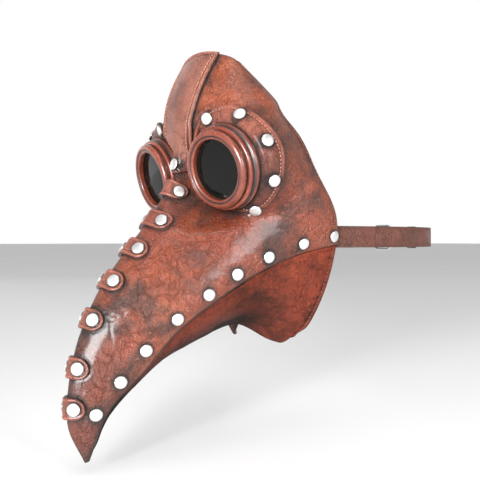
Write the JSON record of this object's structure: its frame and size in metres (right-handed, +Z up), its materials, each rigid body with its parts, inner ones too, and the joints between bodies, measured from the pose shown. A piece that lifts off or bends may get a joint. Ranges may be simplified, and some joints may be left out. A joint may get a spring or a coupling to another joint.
{
  "type": "plague doctor mask",
  "caption": "Riveted leather mask with a long curved beak, round stepped eyepieces, a tucked jaw panel and a buckled head strap.",
  "frame": {"origin": "middle of the face opening, the mouth of the shell that the face enters", "axes": "+Z up; the beak points to -Y and +Y goes out of the face opening to the back of the head; +X is the wearer's left"},
  "size_m": [0.1844, 0.3919, 0.3436],
  "materials": {
    "shell_leather": "semi-gloss, creased, dark in the grooves",
    "jaw_leather": "semi-gloss, redder and darker than the side panels",
    "strip_leather": "semi-gloss, stitched edge",
    "tab_leather": "semi-gloss, dark edges",
    "flange_leather": "semi-gloss, dark grooves",
    "lining_leather": "matte",
    "strap_leather": "semi-gloss",
    "eyepiece": "painted to match the leather, glossy",
    "lens": "dark tinted, polished",
    "gasket": "matte",
    "rivet_steel": "pale, lightly worn",
    "buckle_steel": "polished"
  },
  "bodies": {
    "root": {"left_side_panel": "shell_leather", "right_side_panel": "shell_leather", "left_jaw_panel": "jaw_leather", "right_jaw_panel": "jaw_leather", "keel_strip": "lining_leather", "forehead_strip": "strip_leather", "bridge_tab": "tab_leather", "ridge_tab_1": "tab_leather", "ridge_tab_2": "tab_leather", "ridge_tab_3": "tab_leather", "ridge_tab_4": "tab_leather", "ridge_tab_5": "tab_leather", "ridge_tab_6": "tab_leather", "left_eye_flange": "flange_leather", "right_eye_flange": "flange_leather", "left_eyecup": "eyepiece", "right_eyecup": "eyepiece", "left_cup_nut": "eyepiece", "right_cup_nut": "eyepiece", "left_gasket": "gasket", "right_gasket": "gasket", "left_lens": "lens", "right_lens": "lens", "left_bezel": "eyepiece", "right_bezel": "eyepiece", "tab_rivets": "rivet_steel", "tab_rivet_backs": "rivet_steel", "strip_rivets": "rivet_steel", "strip_rivet_backs": "rivet_steel", "left_seam_rivets": "rivet_steel", "left_seam_rivet_backs": "rivet_steel", "right_seam_rivets": "rivet_steel", "right_seam_rivet_backs": "rivet_steel", "left_flange_rivets": "rivet_steel", "left_flange_rivet_backs": "rivet_steel", "right_flange_rivets": "rivet_steel", "right_flange_rivet_backs": "rivet_steel", "left_strap": "strap_leather", "right_strap": "strap_leather", "strap_rivet": "rivet_steel"},
    "buckle": {"buckle_frame": "buckle_steel"},
    "prong": {"buckle_prong": "buckle_steel"},
    "keeper": {"strap_keeper": "strap_leather"}
  },
  "joints": [
    {"name": "buckle_swing", "type": "hinge", "parent": "root", "child": "buckle", "pos_m": [0.01, 0.15, -0.057], "axis": [0, 0, -1], "range_deg": [-10, 25]},
    {"name": "prong_swing", "type": "hinge", "parent": "buckle", "child": "prong", "pos_m": [0.01, 0.15, -0.057], "axis": [0, 0, -1], "range_deg": [0, 80]},
    {"name": "keeper_slide", "type": "slide", "parent": "root", "child": "keeper", "axis": [1, 0, 0], "range_m": [0, 0.008]}
  ]
}
